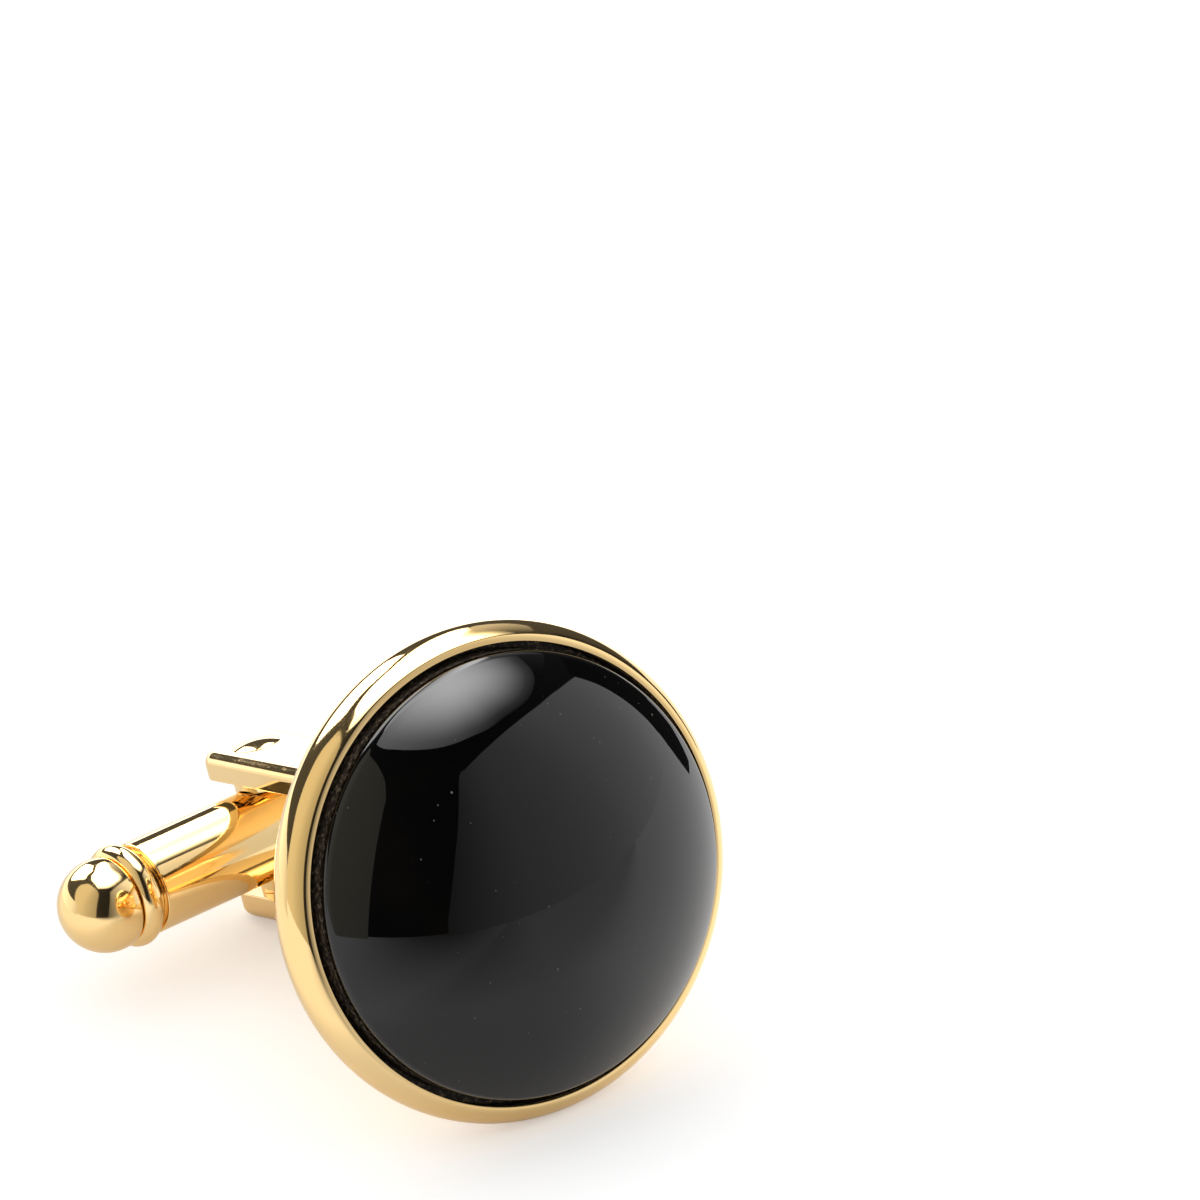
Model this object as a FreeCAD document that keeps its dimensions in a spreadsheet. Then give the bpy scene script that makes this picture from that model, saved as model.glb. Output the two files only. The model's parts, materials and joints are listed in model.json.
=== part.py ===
import FreeCAD, Part
import math
import os
import re

import Sketcher

# A swivel-back cufflink: a round stone in a rounded metal bezel, a two-armed post behind it, and a
# bullet-shaped toggle that turns on a pin between the arms.
#
# Every piece is drawn in the link's own axes: Y runs along the post from the cuff face towards the
# toggle, X along the open toggle and Z along the pivot pin. The finished link is then laid down the way
# it rests on a table, on the bezel's rim and on the end of the lower arm, with +Z up.

# Driving sizes in millimetres; the one angle is in degrees.
SIZES = {
    # stone and the cement that beds it
    "stone_radius": 8.0,
    "stone_edge_rise": 0.55,
    "dome_height": 3.55,
    "cement_film": 0.1,
    "cement_inset": 0.1,
    # bezel, from the stone outwards
    "stone_gap": 0.29,
    "lip_flat": 0.16,
    "rim_swell": 0.55,
    "rim_round": 1.32,
    "cuff_face_width": 0.88,
    "ledge_step": 0.6,
    "ledge_thickness": 0.5,
    # back plate, soldered into the rear of the bezel
    "back_plate_thickness": 0.8,
    "solder_gap": 0.02,
    # toggle barrel
    "barrel_radius": 1.75,
    "barrel_length": 13.3,
    "barrel_wall": 0.6,
    "spot_face_depth": 0.12,
    "spot_face_margin": 0.15,
    # end caps of the toggle
    "spigot_length": 1.2,
    "spigot_clearance": 0.02,
    "seam_width": 0.2,
    "bead_round": 0.45,
    "bead_proud": 0.2,
    "neck_width": 0.08,
    "dome_setback": 0.42,
    # yoke: the post's two arms, the web that joins them and the tenon through the back plate
    "pivot_setback": 15.0,
    "arm_overhang": 2.0,
    "arm_clearance": 0.25,
    "arm_thickness": 1.0,
    "arm_width": 3.2,
    "arm_corner": 0.9,
    "arm_edge_round": 0.45,
    "web_thickness": 1.2,
    "slot_round": 0.6,
    "bend_round": 1.5,
    "tenon_radius": 1.4,
    # pivot pin and its two washers
    "pin_radius": 0.6,
    "pin_head_lip": 0.35,
    "pin_head_rise": 0.18,
    "pin_clearance": 0.03,
    "washer_width": 0.6,
    "washer_clearance": 0.02,
    # click detent inside the barrel
    "ball_play": 0.05,
    "ball_clearance": 0.03,
    "spring_wire_radius": 0.18,
    "spring_play": 0.22,
    # the toggle's turn from square, as it lies
    "toggle_swing_deg": 8.0,
    # how far a cut runs past what it cuts
    "cut_overrun": 0.5,
}

doc = FreeCAD.newDocument("cufflink")
sheet = doc.addObject("Spreadsheet::Sheet", "sizes")
for row, (alias, number) in enumerate(SIZES.items(), start=1):
    sheet.set(f"A{row}", alias)
    sheet.set(f"B{row}", str(number))
    sheet.setAlias(f"B{row}", alias)
doc.recompute()

# Two measures are taken as the same within this share.
NEAR_SHARE = 0.01

# Whole turns of the detent spring.
SPRING_TURNS = 4

# Places that several pieces share, written in the sizes above.
LIP_RADIUS = "(stone_radius + stone_gap)"
LIP_EDGE = f"({LIP_RADIUS} + lip_flat)"
BEZEL_RADIUS = f"({LIP_EDGE} + rim_swell)"
RIM_CENTRE = f"({BEZEL_RADIUS} - rim_round)"
LIP_HEIGHT = "(rim_round + sqrt(rim_round^2 - (rim_round - rim_swell)^2))"
BACK_PLATE_RADIUS = f"({RIM_CENTRE} - cuff_face_width)"
LEDGE_RADIUS = f"({BACK_PLATE_RADIUS} - ledge_step)"
SEAT_HEIGHT = "(back_plate_thickness + ledge_thickness)"
STONE_BASE = f"({SEAT_HEIGHT} + cement_film)"
STONE_EDGE = f"({LIP_HEIGHT} + stone_edge_rise)"
STONE_APEX = f"({STONE_EDGE} + dome_height)"
DOME_RADIUS = "((stone_radius^2 + dome_height^2) / (2 * dome_height))"
ARM_INNER = "(barrel_radius + bead_proud + arm_clearance)"
ARM_OUTER = f"({ARM_INNER} + arm_thickness)"
ARM_TIP = "(pivot_setback + arm_overhang)"
PIN_HEAD_RADIUS = "(pin_radius + pin_head_lip)"
PIN_HEAD_ROUND = f"(({PIN_HEAD_RADIUS}^2 + pin_head_rise^2) / (2 * pin_head_rise))"
WASHER_RADIUS = "(pin_radius + washer_width)"
SPOT_FACE = "(barrel_radius - spot_face_depth)"
SPOT_FACE_RADIUS = f"({WASHER_RADIUS} + spot_face_margin)"
BORE_RADIUS = "(barrel_radius - barrel_wall)"
BARREL_END = "(barrel_length / 2)"
SEAM_RADIUS = "(barrel_radius + bead_proud - bead_round)"
SPIGOT_END = f"({BARREL_END} - spigot_length)"
SPIGOT_RADIUS = f"({BORE_RADIUS} - spigot_clearance)"
BEAD_START = f"({BARREL_END} + seam_width)"
BEAD_END = f"({BEAD_START} + 2 * bead_round)"
NECK_END = f"({BEAD_END} + neck_width)"
CAP_DOME_CENTRE = f"({NECK_END} + dome_setback)"
CAP_TIP = f"({CAP_DOME_CENTRE} + barrel_radius)"
BALL_RADIUS = f"({BORE_RADIUS} - ball_play)"
BALL_CENTRE = f"(pin_radius + ball_clearance + {BALL_RADIUS})"
COIL_RADIUS = f"({BORE_RADIUS} - spring_play - spring_wire_radius)"
COIL_START = f"({BALL_CENTRE} + sqrt(({BALL_RADIUS} + spring_wire_radius)^2 - {COIL_RADIUS}^2))"
COIL_LENGTH = f"({SPIGOT_END} - spring_wire_radius - {COIL_START})"


def bound(expression):
    """The expression with each size read from the sheet."""
    return re.sub(r"[a-z]\w*", lambda m: f"sizes.{m[0]}" if m[0] in SIZES else m[0], expression)


def value(expression):
    """The expression's number now."""
    return float(sheet.evalExpression(expression))


def new_body(label):
    body = doc.addObject("PartDesign::Body", label)
    body.Label = label
    return body


def new_sketch(body, name, plane):
    sketch = body.newObject("Sketcher::SketchObject", name)
    origin_plane = next(f for f in body.Origin.OriginFeatures if f.Role == plane)
    sketch.AttachmentSupport = [(origin_plane, "")]
    sketch.MapMode = "FlatFace"
    return sketch


def bind(sketch, kind, references, expression):
    index = sketch.addConstraint(Sketcher.Constraint(kind, *references, value(expression)))
    sketch.setExpression(f"Constraints[{index}]", bound(expression))


def arc_between(start, end, radius, turn):
    """The arc of under half a circle from start to end; turn is 1 anticlockwise, -1 clockwise."""
    chord = end - start
    across = FreeCAD.Vector(-chord.y, chord.x, 0).normalize()
    rise = math.sqrt(max(radius ** 2 - (chord.Length / 2) ** 2, 0))
    centre = (start + end) / 2 + across * rise * turn
    first, last = (start, end) if turn > 0 else (end, start)
    first_angle = math.atan2(first.y - centre.y, first.x - centre.x)
    last_angle = math.atan2(last.y - centre.y, last.x - centre.x)
    circle = Part.Circle(centre, FreeCAD.Vector(0, 0, 1), radius)
    return Part.ArcOfCircle(circle, first_angle, last_angle)


def outline(body, name, plane, corners, arcs=None):
    """A closed sketch through corners given as pairs of expressions.

    arcs maps a side's number to its radius and its turn; the other sides are straight.
    """
    arcs = arcs or {}
    sketch = new_sketch(body, name, plane)
    places = [FreeCAD.Vector(value(across), value(along), 0) for across, along in corners]
    ends = []
    for side, start in enumerate(places):
        end = places[(side + 1) % len(places)]
        if side in arcs:
            radius, turn = arcs[side]
            geometry = sketch.addGeometry(arc_between(start, end, value(radius), turn), False)
            ends.append((geometry, 1, 2) if turn > 0 else (geometry, 2, 1))
        else:
            geometry = sketch.addGeometry(Part.LineSegment(start, end), False)
            ends.append((geometry, 1, 2))
    for side, (geometry, first, _) in enumerate(ends):
        before, _, last = ends[side - 1]
        sketch.addConstraint(Sketcher.Constraint("Coincident", before, last, geometry, first))
        bind(sketch, "DistanceX", (-1, 1, geometry, first), corners[side][0])
        bind(sketch, "DistanceY", (-1, 1, geometry, first), corners[side][1])
    for side, (radius, _) in arcs.items():
        bind(sketch, "Radius", (ends[side][0],), radius)
    return sketch


def turned(body, kind, sketch, axis):
    """A whole turn of the sketch about one of its own axes, added or, as a groove, cut away."""
    feature = body.newObject(f"PartDesign::{kind}", f"{sketch.Name}_turned")
    feature.Profile = sketch
    feature.ReferenceAxis = (sketch, [axis])
    feature.Angle = 360
    sketch.Visibility = False
    return feature


def rounded(body, base, test, radius):
    """Fillet every edge of the base feature that passes the test."""
    doc.recompute()
    names = [f"Edge{i}" for i, edge in enumerate(base.Shape.Edges, start=1) if test(edge)]
    fillet = body.newObject("PartDesign::Fillet", f"{base.Name}_round")
    fillet.Base = (base, names)
    fillet.setExpression("Radius", bound(radius))
    return fillet


def make_bezel():
    """The rounded ring: a lip round the stone, a ledge under it and a recess for the back plate."""
    body = new_body("bezel")
    corners = [
        (LIP_RADIUS, f"-{LIP_HEIGHT}"),
        (LIP_EDGE, f"-{LIP_HEIGHT}"),
        (BEZEL_RADIUS, "-rim_round"),
        (RIM_CENTRE, "0"),
        (BACK_PLATE_RADIUS, "0"),
        (BACK_PLATE_RADIUS, "-back_plate_thickness"),
        (LEDGE_RADIUS, "-back_plate_thickness"),
        (LEDGE_RADIUS, f"-{SEAT_HEIGHT}"),
        (LIP_RADIUS, f"-{SEAT_HEIGHT}"),
    ]
    arcs = {1: ("rim_round", 1), 2: ("rim_round", 1)}
    turned(body, "Revolution", outline(body, "bezel_section", "XY_Plane", corners, arcs), "V_Axis")
    return body


def make_back_plate():
    """The disc that closes the bezel, flush with the cuff face, bored for the yoke's tenon."""
    body = new_body("back_plate")
    bore = "tenon_radius + solder_gap"
    rim = f"{BACK_PLATE_RADIUS} - solder_gap"
    corners = [(bore, "0"), (bore, "-back_plate_thickness"), (rim, "-back_plate_thickness"), (rim, "0")]
    turned(body, "Revolution", outline(body, "back_plate_section", "XY_Plane", corners), "V_Axis")
    return body


def make_stone_cement():
    """The resin that fills the ring behind the stone and beds the stone on the ledge."""
    body = new_body("stone_cement")
    core = f"{LEDGE_RADIUS} - solder_gap"
    film = "stone_radius - cement_inset"
    corners = [
        ("0", "-back_plate_thickness"),
        (core, "-back_plate_thickness"),
        (core, f"-{SEAT_HEIGHT}"),
        (film, f"-{SEAT_HEIGHT}"),
        (film, f"-{STONE_BASE}"),
        ("0", f"-{STONE_BASE}"),
    ]
    turned(body, "Revolution", outline(body, "cement_section", "XY_Plane", corners), "V_Axis")
    return body


def make_stone():
    """The round cabochon: an upright girdle with a crisp edge under a spherical dome."""
    body = new_body("onyx_cabochon")
    corners = [
        ("0", f"-{STONE_BASE}"),
        ("stone_radius", f"-{STONE_BASE}"),
        ("stone_radius", f"-{STONE_EDGE}"),
        ("0", f"-{STONE_APEX}"),
    ]
    arcs = {2: (DOME_RADIUS, -1)}
    turned(body, "Revolution", outline(body, "stone_section", "XY_Plane", corners, arcs), "V_Axis")
    return body


def make_yoke():
    """A strip bent into a U, its arms drilled for the pin and its web riveted through the back plate."""
    body = new_body("yoke")
    half_width = value("arm_width / 2")
    tip = value(ARM_TIP)
    outer = value(ARM_OUTER)
    corners = [
        (ARM_TIP, f"-{ARM_OUTER}"),
        (ARM_TIP, f"-{ARM_INNER}"),
        ("web_thickness + slot_round", f"-{ARM_INNER}"),
        ("web_thickness", f"-{ARM_INNER} + slot_round"),
        ("web_thickness", f"{ARM_INNER} - slot_round"),
        ("web_thickness + slot_round", ARM_INNER),
        (ARM_TIP, ARM_INNER),
        (ARM_TIP, ARM_OUTER),
        ("bend_round", ARM_OUTER),
        ("0", f"{ARM_OUTER} - bend_round"),
        ("0", f"-{ARM_OUTER} + bend_round"),
        ("bend_round", f"-{ARM_OUTER}"),
    ]
    arcs = {2: ("slot_round", -1), 4: ("slot_round", -1), 8: ("bend_round", 1), 10: ("bend_round", 1)}
    strip = body.newObject("PartDesign::Pad", "yoke_strip")
    strip.Profile = outline(body, "yoke_section", "YZ_Plane", corners, arcs)
    strip.SideType = "Symmetric"
    strip.setExpression("Length", bound("arm_width"))

    near = half_width * NEAR_SHARE

    def is_tip_corner(edge):
        box = edge.BoundBox
        upright = box.XLength + box.YLength < near
        return upright and abs(box.Center.y - tip) < near

    def is_outer_edge(edge):
        box = edge.BoundBox
        middle = edge.valueAt((edge.FirstParameter + edge.LastParameter) / 2)
        on_outer_face = abs(abs(middle.z) - outer) < near
        crosses_at_bend = box.XLength > half_width and box.Center.y < tip / 2
        return on_outer_face and not crosses_at_bend

    corners_done = rounded(body, strip, is_tip_corner, "arm_corner")
    rounded(body, corners_done, is_outer_edge, "arm_edge_round")

    tenon_corners = [
        ("0", "-back_plate_thickness"),
        ("tenon_radius", "-back_plate_thickness"),
        ("tenon_radius", "web_thickness / 2"),
        ("0", "web_thickness / 2"),
    ]
    turned(body, "Revolution", outline(body, "tenon_section", "XY_Plane", tenon_corners), "V_Axis")

    doc.recompute()
    solid_volume = body.Shape.Volume
    hole_sketch = new_sketch(body, "pin_hole", "XY_Plane")
    centre = FreeCAD.Vector(0, value("pivot_setback"), 0)
    hole_radius = "pin_radius + solder_gap"
    circle = Part.Circle(centre, FreeCAD.Vector(0, 0, 1), value(hole_radius))
    hole_sketch.addGeometry(circle, False)
    hole_sketch.addConstraint(Sketcher.Constraint("PointOnObject", 0, 3, -2))
    bind(hole_sketch, "DistanceY", (-1, 1, 0, 3), "pivot_setback")
    bind(hole_sketch, "Radius", (0,), hole_radius)
    hole = body.newObject("PartDesign::Pocket", "pin_hole_cut")
    hole.Profile = hole_sketch
    hole.Type = "ThroughAll"
    hole.SideType = "Symmetric"
    doc.recompute()
    drilled = 2 * math.pi * value(hole_radius) ** 2 * value("arm_thickness")
    if abs(solid_volume - body.Shape.Volume - drilled) > drilled * NEAR_SHARE:
        raise RuntimeError("the pin holes don't go through both arms")
    return body


def make_pivot_pin():
    """The rivet through both arms, with a low domed head on each."""
    body = new_body("pivot_pin")
    corners = [
        ("0", f"-{ARM_OUTER} - pin_head_rise"),
        (PIN_HEAD_RADIUS, f"-{ARM_OUTER}"),
        ("pin_radius", f"-{ARM_OUTER}"),
        ("pin_radius", ARM_OUTER),
        (PIN_HEAD_RADIUS, ARM_OUTER),
        ("0", f"{ARM_OUTER} + pin_head_rise"),
    ]
    arcs = {0: (PIN_HEAD_ROUND, 1), 4: (PIN_HEAD_ROUND, 1)}
    turned(body, "Revolution", outline(body, "pin_section", "XZ_Plane", corners, arcs), "V_Axis")
    return body


def make_washer(label, side):
    """A spacer between an arm and the barrel; side is 1 above the barrel and -1 below it."""
    body = new_body(label)
    bore = "pin_radius + solder_gap"
    near = f"{side} * ({SPOT_FACE} + washer_clearance)"
    far = f"{side} * {ARM_INNER}"
    corners = [(bore, near), (WASHER_RADIUS, near), (WASHER_RADIUS, far), (bore, far)]
    turned(body, "Revolution", outline(body, f"{label}_section", "XZ_Plane", corners), "V_Axis")
    return body


def make_barrel():
    """The toggle's tube, cross-drilled for the pin and spot-faced for the washers."""
    body = new_body("toggle_barrel")
    tube_corners = [
        (f"-{BARREL_END}", BORE_RADIUS),
        (BARREL_END, BORE_RADIUS),
        (BARREL_END, "barrel_radius"),
        (f"-{BARREL_END}", "barrel_radius"),
    ]
    turned(body, "Revolution", outline(body, "tube_section", "XY_Plane", tube_corners), "H_Axis")
    doc.recompute()
    tube_volume = body.Shape.Volume
    hole = "pin_radius + pin_clearance"
    clear = "(barrel_radius + cut_overrun)"
    cut_corners = [
        ("0", f"-{clear}"),
        (SPOT_FACE_RADIUS, f"-{clear}"),
        (SPOT_FACE_RADIUS, f"-{SPOT_FACE}"),
        (hole, f"-{SPOT_FACE}"),
        (hole, SPOT_FACE),
        (SPOT_FACE_RADIUS, SPOT_FACE),
        (SPOT_FACE_RADIUS, clear),
        ("0", clear),
    ]
    turned(body, "Groove", outline(body, "cross_hole_section", "XZ_Plane", cut_corners), "V_Axis")
    doc.recompute()
    if body.Shape.Volume >= tube_volume:
        raise RuntimeError("the cross hole cuts nothing")
    return body


def make_end_cap(label):
    """A turned plug: a spigot in the barrel, a raised bead between two grooves and a domed end."""
    body = new_body(label)
    corners = [
        (SPIGOT_END, "0"),
        (SPIGOT_END, SPIGOT_RADIUS),
        (BARREL_END, SPIGOT_RADIUS),
        (BARREL_END, SEAM_RADIUS),
        (BEAD_START, SEAM_RADIUS),
        (f"{BEAD_START} + bead_round", f"{SEAM_RADIUS} + bead_round"),
        (BEAD_END, SEAM_RADIUS),
        (NECK_END, SEAM_RADIUS),
        (NECK_END, "sqrt(barrel_radius^2 - dome_setback^2)"),
        (CAP_DOME_CENTRE, "barrel_radius"),
        (CAP_TIP, "0"),
    ]
    arcs = {4: ("bead_round", -1), 5: ("bead_round", -1), 8: ("barrel_radius", -1), 9: ("barrel_radius", -1)}
    turned(body, "Revolution", outline(body, f"{label}_section", "XY_Plane", corners, arcs), "H_Axis")
    return body


def make_detent_ball():
    """The ball that the spring presses on the pin, so the toggle clicks into place."""
    ball = doc.addObject("Part::Sphere", "detent_ball")
    ball.Label = "detent_ball"
    ball.setExpression("Radius", bound(BALL_RADIUS))
    return ball


def biarc(start, start_way, end, end_way):
    """Two arcs that leave start and reach end in the given directions and meet smoothly between."""
    span = end - start
    ways = start_way + end_way
    square = ways.dot(ways) - 4
    half = -span.dot(ways)
    reach = (-half - math.sqrt(half ** 2 - square * span.dot(span))) / square
    first_corner = start + start_way * reach
    last_corner = end - end_way * reach
    joint = (first_corner + last_corner) / 2
    edges = []
    for first, corner, last in ((start, first_corner, joint), (joint, last_corner, end)):
        chord = (last - first).Length
        middle = (first + last) / 2
        sag = chord / 2 * math.tan(math.acos(chord / (2 * reach)) / 2)
        top = middle + (corner - middle).normalize() * sag
        edges.append(Part.Arc(first, top, last).toShape())
    return edges


def make_detent_spring():
    """The coil between the ball and one end cap's spigot, as one wire of smoothly joined arcs."""
    coil_radius = value(COIL_RADIUS)
    rise = value(COIL_LENGTH) / (2 * math.pi * SPRING_TURNS)
    quarter = math.pi / 2

    def on_coil(angle):
        return FreeCAD.Vector(coil_radius * math.cos(angle), coil_radius * math.sin(angle), rise * angle)

    def along_coil(angle):
        way = FreeCAD.Vector(-coil_radius * math.sin(angle), coil_radius * math.cos(angle), rise)
        return way.normalize()

    edges = []
    for step in range(4 * SPRING_TURNS):
        first = step * quarter
        last = first + quarter
        edges += biarc(on_coil(first), along_coil(first), on_coil(last), along_coil(last))
    section = Part.Wire(Part.makeCircle(value("spring_wire_radius"), on_coil(0), along_coil(0)))
    spring = doc.addObject("Part::Feature", "detent_spring")
    spring.Label = "detent_spring"
    spring.Shape = Part.Wire(edges).makePipeShell([section], True, False)
    return spring


def resting_placement():
    """The link laid on a table: leaning on the rim's round and on the lower arm's rounded end.

    Both rounds touch the table where a line tangent to them touches, which gives the lean. The origin
    is on the table, below the middle of the object.
    """
    rim_round = value("rim_round")
    edge_round = value("arm_edge_round")
    along = value(ARM_TIP) - edge_round + rim_round
    across = value(RIM_CENTRE) - (value(ARM_OUTER) - edge_round)
    lean = math.atan2(across, along) + math.asin((rim_round - edge_round) / math.hypot(along, across))
    height = value(RIM_CENTRE) * math.cos(lean) + rim_round - rim_round * math.sin(lean)
    dome_centre = value(DOME_RADIUS) - value(STONE_APEX)
    front = dome_centre * math.cos(lean) - value(DOME_RADIUS)
    arm_end = (value(ARM_TIP) - edge_round) * math.cos(lean)
    arm_back = arm_end + (value(ARM_OUTER) - edge_round) * math.sin(lean) + edge_round
    swing = math.sin(math.radians(value("toggle_swing_deg")))
    bead_centre = value("pivot_setback") + value(f"{BEAD_START} + bead_round") * swing
    bead_tilt = swing * math.cos(lean)
    bead_reach = value(SEAM_RADIUS) * math.sqrt(1 - bead_tilt ** 2) + value("bead_round")
    back = max(arm_back, bead_centre * math.cos(lean) + bead_reach)
    turn = FreeCAD.Rotation(FreeCAD.Vector(1, 0, 0), -math.degrees(lean))
    return FreeCAD.Placement(FreeCAD.Vector(0, -(front + back) / 2, height), turn), lean


def shifted(across, along, turn_axis, turn_degrees):
    """A place in the link's own axes, with a turn about one axis."""
    turn = FreeCAD.Rotation(FreeCAD.Vector(*turn_axis), turn_degrees)
    return FreeCAD.Placement(FreeCAD.Vector(across, along, 0), turn)


link, lean = resting_placement()
pivot = link * shifted(0, value("pivot_setback"), (0, 0, 1), 0)
toggle = pivot * shifted(0, 0, (0, 0, 1), value("toggle_swing_deg"))

pieces = []
for maker in (make_bezel, make_back_plate, make_stone_cement, make_stone, make_yoke):
    pieces.append((maker(), link))
pieces.append((make_pivot_pin(), pivot))
pieces.append((make_washer("washer_upper", 1), pivot))
pieces.append((make_washer("washer_lower", -1), pivot))
pieces.append((make_barrel(), toggle))
pieces.append((make_end_cap("end_cap_right"), toggle))
pieces.append((make_end_cap("end_cap_left"), toggle * shifted(0, 0, (0, 0, 1), 180)))
pieces.append((make_detent_ball(), toggle * shifted(-value(BALL_CENTRE), 0, (0, 0, 1), 0)))
pieces.append((make_detent_spring(), toggle * shifted(-value(COIL_START), 0, (0, 1, 0), -90)))

for piece, place in pieces:
    piece.Placement = place
doc.recompute()

for item in doc.Objects:
    if "Invalid" in item.State or "Error" in item.State:
        raise RuntimeError(f"{item.Label} failed: {item.State}")
for piece, _ in pieces:
    if piece.Shape.isNull() or not piece.Shape.isValid() or len(piece.Shape.Solids) != 1:
        raise RuntimeError(f"{piece.Label} is not one valid solid")

os.makedirs("parts", exist_ok=True)
for piece, _ in pieces:
    piece.Shape.exportStep(f"parts/{piece.Label}.step")
    print(f"{piece.Label}: {piece.Shape.Volume:.3f} mm3")

box = Part.makeCompound([piece.Shape for piece, _ in pieces]).optimalBoundingBox()
print(f"lean {math.degrees(lean):.3f} degrees")
print(f"low {box.XMin:.3f} {box.YMin:.3f} {box.ZMin:.3f}, high {box.XMax:.3f} {box.YMax:.3f} {box.ZMax:.3f}")
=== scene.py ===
import json
import math

import bmesh
import bpy
from mathutils import Matrix, Vector


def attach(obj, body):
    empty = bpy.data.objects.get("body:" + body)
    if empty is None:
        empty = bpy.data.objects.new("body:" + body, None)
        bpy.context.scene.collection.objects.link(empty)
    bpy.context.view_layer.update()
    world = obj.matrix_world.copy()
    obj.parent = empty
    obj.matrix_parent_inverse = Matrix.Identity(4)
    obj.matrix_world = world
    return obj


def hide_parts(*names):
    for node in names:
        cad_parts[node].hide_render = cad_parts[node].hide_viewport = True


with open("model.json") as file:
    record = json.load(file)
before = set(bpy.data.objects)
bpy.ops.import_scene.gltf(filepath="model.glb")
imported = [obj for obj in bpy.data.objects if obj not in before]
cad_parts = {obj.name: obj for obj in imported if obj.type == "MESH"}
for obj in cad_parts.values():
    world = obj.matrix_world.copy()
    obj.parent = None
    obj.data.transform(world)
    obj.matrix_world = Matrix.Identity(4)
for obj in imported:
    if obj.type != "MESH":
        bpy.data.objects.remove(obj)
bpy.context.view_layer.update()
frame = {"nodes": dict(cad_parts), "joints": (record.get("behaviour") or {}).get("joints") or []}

# A swivel-back cufflink: a black domed stone in a rounded gold ring, a forked post and a bullet-shaped bar.
# Every piece is made in the link's own axes: Y runs along the post from the cuff face towards the bar, X
# along the open bar and Z along the pivot pin. Sizes are millimetres until a piece is put in its place.

MM = 0.001

# stone and ring
STONE_RADIUS = 8.0
STONE_BASE = 1.4
STONE_EDGE = 2.942
STONE_APEX = 6.492
LIP_RADIUS = 8.29
LIP_FLAT = 0.16
RIM_SWELL = 0.55
RIM_ROUND = 1.32
CUFF_FACE_WIDTH = 0.88
LEDGE_STEP = 0.6
SEAT_HEIGHT = 1.3
PLATE_THICKNESS = 0.8
SOLDER_GAP = 0.02

# forked post and its pin
PIVOT_SETBACK = 15.0
ARM_TIP = 17.0
ARM_INNER = 2.2
ARM_OUTER = 3.2
ARM_WIDTH = 3.2
ARM_CORNER = 0.9
ARM_EDGE_ROUND = 0.45
WEB_THICKNESS = 1.2
SLOT_ROUND = 0.6
BEND_ROUND = 1.5
TENON_RADIUS = 1.4
PIN_RADIUS = 0.6
PIN_CLEARANCE = 0.03
PIN_HEAD_RADIUS = 0.95
PIN_HEAD_RISE = 0.18
WASHER_RADIUS = 1.2
WASHER_CLEARANCE = 0.02

# swivel bar
BARREL_RADIUS = 1.75
BARREL_END = 6.65
BORE_RADIUS = 1.15
SPOT_FACE = 1.63
SPOT_FACE_RADIUS = 1.35
SPIGOT_LENGTH = 1.2
SPIGOT_RADIUS = 1.13
SEAM_WIDTH = 0.2
SEAM_RADIUS = 1.5
BEAD_ROUND = 0.45
NECK_WIDTH = 0.08
DOME_SETBACK = 0.42

# eased edges
POLISHED_EDGE = 0.06
STONE_CREASE = 0.55
LIP_ROUND = 0.33
TURNED_EDGE = 0.03
CRISP_TURN = math.radians(16)
HOLD_SHARE = 0.3
SHARP_ANGLE = math.radians(38)
ROUND_PROFILE = 0.5
FLAT_WEIGHT = 100

# painted shade on the ring's bore and dust on the stone's girdle, in the gap round the stone: how far below
# the lip it begins, over what depth it thickens, and how far below the dome the girdle stays clean
CREVICE_START = 0.06
CREVICE_FADE = 0.3
CLEAN_GIRDLE = 0.2

# how finely the pieces are made, and what counts as touching
RING_STEPS = 320
BAR_STEPS = 160
PIN_STEPS = 96
EASING_STEPS = 5
ARM_CORNER_STEPS = 14
ARM_EDGE_STEPS = 8
POLISHED_EDGE_STEPS = 3
ARC_STEP_DEG = 3.0
DOME_STEP_DEG = 0.9
BEAD_STEP_DEG = 6
SLOT_STEP_DEG = 9
BEND_STEP_DEG = 5
TOUCHING = 0.001

# Finishes: colours are linear, depths are metres. Patches are given by a noise's scale per metre and its
# detail, and by the stretch of the noise that is spread out. Other noises have a scale and a detail alone.
GOLD_DEEP = (0.925, 0.64, 0.28)
GOLD_PALE = (0.95, 0.69, 0.335)
GOLD_DRIFT = (160, 3, 0.35, 0.65)
GOLD_SMUDGES = (520, 5, 0.45, 0.75)
GOLD_POLISH = (0.045, 0.10)
GOLD_WAVES = (700, 1)
GOLD_WAVE_DEPTH = 1.2e-6
BAR_HAZE = 0.02
POST_HAZE = 0.01
HAIRLINES = (1, 1, 0.66, 0.72)
HAIRLINE_STRETCH = (900, 9000, 5000)
HAIRLINE_DULLNESS = 0.06
HAIRLINE_DEPTH = 2e-6

# Crevice colour: painted shade down the ring's bore, and the colour of dust on the stone's girdle.
CREVICE_DUST_AND_SHADE = (0.030, 0.021, 0.014)
CREVICE_LINT = (0.200, 0.150, 0.100)
# The ring's patches, cover and dullness spread that painted shade down the bore.
RING_PAINTED_SHADE = (6000, 3, 0.3, 0.5)
RING_PAINTED_SHADE_COVER = (0.8, 1)
RING_CREVICE_DULLNESS = 0.6
STONE_DUST = (9000, 3, 0.3, 0.6)
STONE_DUST_COVER = (0.55, 1)
STONE_DUST_DULLNESS = 0.55
STONE_LINT = (6500, 2, 0.53, 0.63)

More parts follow.
